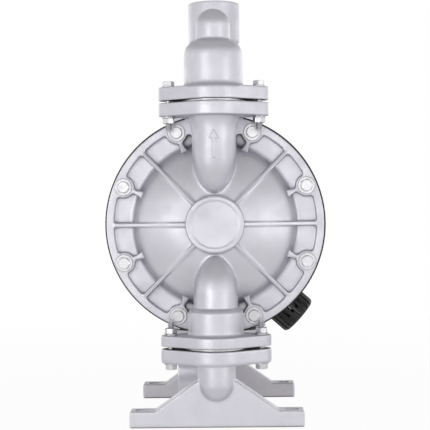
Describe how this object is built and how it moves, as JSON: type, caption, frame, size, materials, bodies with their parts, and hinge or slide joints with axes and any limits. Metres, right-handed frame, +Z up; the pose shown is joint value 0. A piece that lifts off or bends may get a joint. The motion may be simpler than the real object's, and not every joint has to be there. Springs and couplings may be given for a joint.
{
  "type": "air operated diaphragm pump",
  "caption": "Bolted aluminium double diaphragm pump with ball valves, manifolds on feet and a black exhaust muffler, driven by compressed air.",
  "frame": {"origin": "on the floor under the middle of the pump", "axes": "+Z up, Y along the diaphragm rod, the front cover faces -Y, +X to the right of the front view"},
  "size_m": [0.206, 0.233, 0.397],
  "materials": {
    "cast_aluminium": "sand cast and bead blasted, satin",
    "machined_aluminium": "machined",
    "zinc_plated_steel": "bright zinc",
    "stainless_steel": "turned",
    "ground_steel": "ground and polished",
    "bronze": "turned",
    "black_rubber": "moulded",
    "gasket_sheet": "cut sheet",
    "white_ptfe": "smooth",
    "black_plastic": "moulded, satin"
  },
  "bodies": {
    "housing": {"centre_block": "cast_aluminium", "discharge_flange_bolts": "zinc_plated_steel", "discharge_flange_nuts": "zinc_plated_steel", "discharge_flange_washers": "zinc_plated_steel", "discharge_manifold": "cast_aluminium", "discharge_seat_seals": "black_rubber", "exhaust_muffler": "black_plastic", "front_air_chamber": "cast_aluminium", "front_chamber_gasket": "gasket_sheet", "front_chamber_screws": "zinc_plated_steel", "front_cover_bolts": "zinc_plated_steel", "front_cover_nuts": "zinc_plated_steel", "front_cover_washers": "zinc_plated_steel", "front_diaphragm": "black_rubber", "front_discharge_seat": "stainless_steel", "front_fluid_cover": "cast_aluminium", "front_rod_bush": "bronze", "front_rod_seal": "black_rubber", "front_suction_seat": "stainless_steel", "front_valve_cap": "cast_aluminium", "rear_air_chamber": "cast_aluminium", "rear_chamber_gasket": "gasket_sheet", "rear_chamber_screws": "zinc_plated_steel", "rear_cover_bolts": "zinc_plated_steel", "rear_cover_nuts": "zinc_plated_steel", "rear_cover_washers": "zinc_plated_steel", "rear_diaphragm": "black_rubber", "rear_discharge_seat": "stainless_steel", "rear_fluid_cover": "cast_aluminium", "rear_rod_bush": "bronze", "rear_rod_seal": "black_rubber", "rear_suction_seat": "stainless_steel", "rear_valve_cap": "cast_aluminium", "suction_flange_bolts": "zinc_plated_steel", "suction_flange_nuts": "zinc_plated_steel", "suction_flange_washers": "zinc_plated_steel", "suction_manifold": "cast_aluminium", "suction_seat_seals": "black_rubber", "valve_cap_screws": "zinc_plated_steel", "valve_cap_seals": "black_rubber", "valve_chest": "cast_aluminium", "valve_chest_gasket": "gasket_sheet", "valve_chest_screws": "zinc_plated_steel", "valve_sleeve": "machined_aluminium"},
    "rod_assembly": {"diaphragm_rod": "ground_steel", "front_inner_plate": "machined_aluminium", "front_outer_plate": "machined_aluminium", "front_plate_washer": "zinc_plated_steel", "front_plate_screw": "zinc_plated_steel", "rear_inner_plate": "machined_aluminium", "rear_outer_plate": "machined_aluminium", "rear_plate_washer": "zinc_plated_steel", "rear_plate_screw": "zinc_plated_steel"},
    "front_discharge_ball_body": {"front_discharge_ball": "white_ptfe"},
    "front_suction_ball_body": {"front_suction_ball": "white_ptfe"},
    "rear_discharge_ball_body": {"rear_discharge_ball": "white_ptfe"},
    "rear_suction_ball_body": {"rear_suction_ball": "white_ptfe"},
    "spool_assembly": {"valve_spool": "machined_aluminium", "spool_rings": "black_rubber"}
  },
  "joints": [
    {"name": "rod_slide", "type": "slide", "parent": "housing", "child": "rod_assembly", "axis": [0, 1, 0], "range_m": [-0.009, 0.009], "deforming": ["front_diaphragm", "rear_diaphragm"]},
    {"name": "spool_slide", "type": "slide", "parent": "housing", "child": "spool_assembly", "axis": [0, 1, 0], "range_m": [-0.005, 0.005]},
    {"name": "front_discharge_ball_lift", "type": "slide", "parent": "housing", "child": "front_discharge_ball_body", "axis": [0, 0, 1], "range_m": [0, 0.009]},
    {"name": "front_suction_ball_lift", "type": "slide", "parent": "housing", "child": "front_suction_ball_body", "axis": [0, 0, 1], "range_m": [0, 0.009]},
    {"name": "rear_discharge_ball_lift", "type": "slide", "parent": "housing", "child": "rear_discharge_ball_body", "axis": [0, 0, 1], "range_m": [0, 0.009]},
    {"name": "rear_suction_ball_lift", "type": "slide", "parent": "housing", "child": "rear_suction_ball_body", "axis": [0, 0, 1], "range_m": [0, 0.009]}
  ]
}
